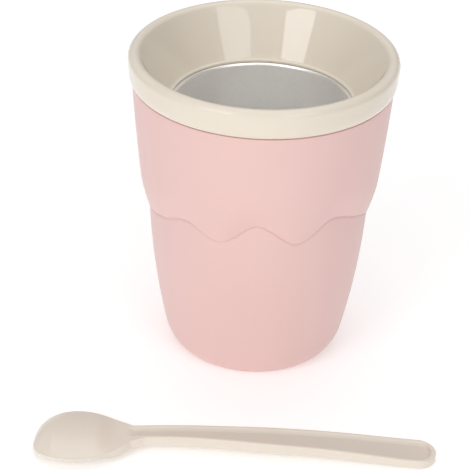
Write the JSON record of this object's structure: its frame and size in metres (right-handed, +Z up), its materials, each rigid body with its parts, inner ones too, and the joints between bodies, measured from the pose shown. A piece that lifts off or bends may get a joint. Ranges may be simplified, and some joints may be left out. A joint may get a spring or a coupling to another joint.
{
  "type": "ice cream maker",
  "caption": "Hand-operated ice cream maker: insulated pink cup with a dripping-edge relief, lift-out freezing core, screw-on cream funnel collar and a scraping spoon.",
  "frame": {"origin": "centre of the foot pad's flat underside, on the table", "axes": "+Z up along the cup's axis, X along the spoon, which lies in front of the cup on the -Y side"},
  "size_m": [0.1524, 0.1518, 0.1283],
  "materials": {
    "pink_plastic": "satin",
    "cream_plastic": "gloss",
    "spoon_plastic": "satin",
    "bowl_aluminium": "matte, fine grained",
    "can_plastic": "matte",
    "seal_silicone": "matte",
    "pad_silicone": "matte",
    "liner_foam": "closed-cell foam",
    "coolant": "gel",
    "plug_plastic": "matte"
  },
  "bodies": {
    "cup": {"outer_cup": "pink_plastic", "foot_pad": "pad_silicone", "insulation_liner": "liner_foam"},
    "core": {"freezer_can": "can_plastic", "coolant_gel": "coolant", "freezing_bowl": "bowl_aluminium", "bowl_gasket": "seal_silicone", "fill_plug": "plug_plastic", "plug_seal": "seal_silicone"},
    "seal": {"collar_seal": "seal_silicone"},
    "collar": {"funnel_collar": "cream_plastic"},
    "spoon": {"spoon": "spoon_plastic"}
  },
  "joints": [
    {"name": "core_lift", "type": "slide", "parent": "cup", "child": "core", "axis": [0, 0, 1], "range_m": [0, 0.12]},
    {"name": "collar_rise", "type": "slide", "parent": "core", "child": "seal", "axis": [0, 0, 1], "range_m": [0, 0.012]},
    {"name": "collar_turn", "type": "hinge", "parent": "seal", "child": "collar", "pos_m": [0, 0, 0.1], "axis": [0, 0, 1], "range_deg": [0, 180]},
    {"name": "spoon_lift", "type": "slide", "parent": "cup", "child": "spoon", "axis": [0, 0, 1], "range_m": [0, 0.12]}
  ],
  "couplings": [
    {"joint": "collar_rise", "follows": "collar_turn", "m_per_rad": 0.0038197}
  ]
}
